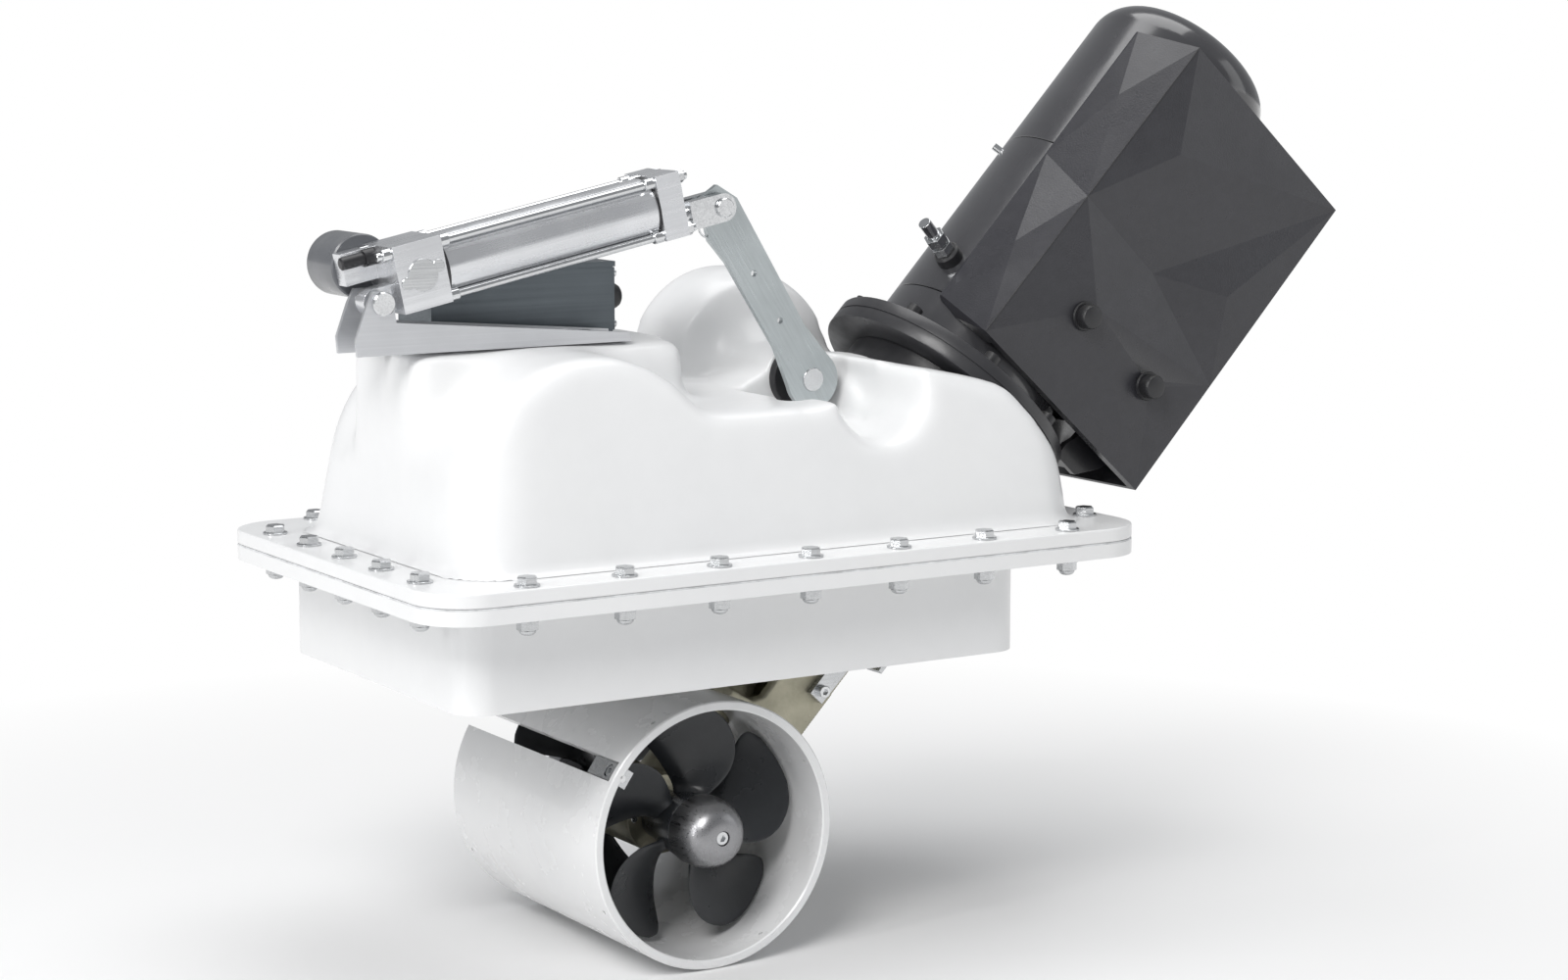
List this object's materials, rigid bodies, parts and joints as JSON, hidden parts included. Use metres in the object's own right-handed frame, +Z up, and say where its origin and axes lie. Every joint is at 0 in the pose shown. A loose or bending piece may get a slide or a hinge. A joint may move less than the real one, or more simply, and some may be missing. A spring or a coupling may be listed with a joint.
{
  "type": "bow thruster",
  "caption": "Retractable bow thruster: swing-out tunnel with twin contra-rotating propellers, bonded hull trunk, electric motor in line with the leg and a linear actuator.",
  "frame": {"origin": "centre of the hull opening, in the plane of the trunk's lower rim", "axes": "+Z up into the hull, +X towards the motor, +Y away from the side that carries the lever and the cover's faceted front"},
  "size_m": [0.8563, 0.3714, 0.6961],
  "materials": {
    "white_laminate": "semi-gloss gelcoat",
    "gasket_rubber": "matt",
    "stainless": "brushed",
    "bronze": "cast, machined on the faces",
    "duct_white": "smooth",
    "lever_steel": "ground plate",
    "bright_steel": "turned",
    "bearing_black": "matt",
    "black_casting": "satin black",
    "charcoal_plate": "satin",
    "motor_paint": "gloss",
    "core_steel": "laminated",
    "cover_moulding": "fine texture",
    "knob_black": "satin",
    "blade_slate": "satin",
    "nose_metal": "satin turned",
    "gear_steel": "ground",
    "bracket_alloy": "satin sheet",
    "actuator_alloy": "anodised",
    "actuator_motor_paint": "satin",
    "box_alloy": "dark anodised",
    "nut_brass": "turned"
  },
  "bodies": {
    "hull_unit": {"hull_trunk": "white_laminate", "flange_gasket": "gasket_rubber", "flange_bolts": "stainless", "flange_nuts": "stainless", "upper_housing": "white_laminate", "pivot_bracket": "bronze", "pivot_pins": "bright_steel", "motor_base": "black_casting", "motor_flange": "charcoal_plate", "motor_end_ring": "motor_paint", "motor_casing": "motor_paint", "motor_cap": "motor_paint", "motor_stator": "core_steel", "terminal_studs": "bright_steel", "terminal_nuts": "bright_steel", "motor_cover": "cover_moulding", "cover_knobs": "knob_black", "controller_case": "black_casting", "controller_bracket": "black_casting", "shaft_bushes": "bearing_black", "actuator_bracket": "bracket_alloy", "bracket_pin": "bright_steel", "control_box": "box_alloy", "control_box_lid": "box_alloy", "cable_gland": "knob_black"},
    "actuator": {"actuator_rear_head": "actuator_alloy", "actuator_casing": "actuator_alloy", "actuator_front_head": "actuator_alloy", "tie_rods": "bright_steel", "actuator_motor": "actuator_motor_paint"},
    "screw": {"lead_screw": "gear_steel"},
    "rod": {"piston_rod": "bright_steel", "screw_nut": "nut_brass", "rod_fork": "bright_steel", "fork_pins": "bright_steel"},
    "lever": {"lever_arm": "lever_steel", "lever_shaft": "bright_steel", "inner_crank": "stainless", "crank_pin": "bright_steel"},
    "link": {"connecting_link": "stainless"},
    "leg": {"leg_casting": "bronze", "gearcase_caps": "bronze", "leg_bearings": "bright_steel", "side_straps": "stainless", "leg_link_pin": "bright_steel", "tunnel": "duct_white", "tunnel_clamp": "stainless"},
    "rotor": {"motor_shaft": "bright_steel", "motor_rotor": "core_steel", "joint_cup": "gear_steel"},
    "leg_drive": {"leg_shaft": "gear_steel", "bevel_pinion": "gear_steel"},
    "front_wheel": {"front_propeller": "blade_slate", "front_nose_cone": "nose_metal", "front_propeller_shaft": "bright_steel", "front_crown_gear": "gear_steel"},
    "rear_wheel": {"rear_propeller": "blade_slate", "rear_nose_cone": "nose_metal", "rear_propeller_shaft": "bright_steel", "rear_crown_gear": "gear_steel"}
  },
  "joints": [
    {"name": "lever_swing", "type": "hinge", "parent": "hull_unit", "child": "lever", "pos_m": [0.12545, 0, 0.1985], "axis": [0, 1, 0], "range_deg": [0, 52]},
    {"name": "leg_swing", "type": "hinge", "parent": "hull_unit", "child": "leg", "pos_m": [0.1955, 0, 0.1075], "axis": [0, 1, 0], "range_deg": [0, 46.85]},
    {"name": "link_swing", "type": "hinge", "parent": "lever", "child": "link", "pos_m": [0.10985, 0, 0.1441], "axis": [0, 1, 0], "range_deg": [-51.6, 0.2]},
    {"name": "actuator_tilt", "type": "hinge", "parent": "hull_unit", "child": "actuator", "pos_m": [-0.238, -0.02, 0.2744], "axis": [0, 1, 0], "range_deg": [-0.1, 1.84]},
    {"name": "rod_extend", "type": "slide", "parent": "actuator", "child": "rod", "axis": [0.9794, 0, 0.2019], "range_m": [-0.0001, 0.13822]},
    {"name": "screw_spin", "type": "hinge", "parent": "actuator", "child": "screw", "pos_m": [-0.238, -0.02, 0.2744], "axis": [0.9794, 0, 0.2019], "range_deg": [-1, 1989.5]},
    {"name": "motor_spin", "type": "hinge", "parent": "hull_unit", "child": "rotor", "pos_m": [0.1955, 0, 0.1075], "axis": [0.6845, 0, 0.729], "continuous": true},
    {"name": "leg_shaft_spin", "type": "hinge", "parent": "leg", "child": "leg_drive", "pos_m": [0.1955, 0, 0.1075], "axis": [0.6845, 0, 0.729], "continuous": true},
    {"name": "front_propeller_spin", "type": "hinge", "parent": "leg", "child": "front_wheel", "pos_m": [-0.01596, 0, -0.11768], "axis": [0, 1, 0], "continuous": true},
    {"name": "rear_propeller_spin", "type": "hinge", "parent": "leg", "child": "rear_wheel", "pos_m": [-0.01596, 0, -0.11768], "axis": [0, 1, 0], "continuous": true}
  ],
  "couplings": [
    {"joint": "leg_swing", "follows": "lever_swing", "ratio": 0.9},
    {"joint": "link_swing", "follows": "lever_swing", "ratio": -0.98962},
    {"joint": "actuator_tilt", "follows": "lever_swing", "ratio": 0.033377},
    {"joint": "rod_extend", "follows": "lever_swing", "m_per_rad": 0.15208},
    {"joint": "screw_spin", "follows": "lever_swing", "ratio": 38.222},
    {"joint": "leg_shaft_spin", "follows": "motor_spin", "ratio": 1},
    {"joint": "front_propeller_spin", "follows": "motor_spin", "ratio": 0.5},
    {"joint": "rear_propeller_spin", "follows": "motor_spin", "ratio": -0.5}
  ]
}
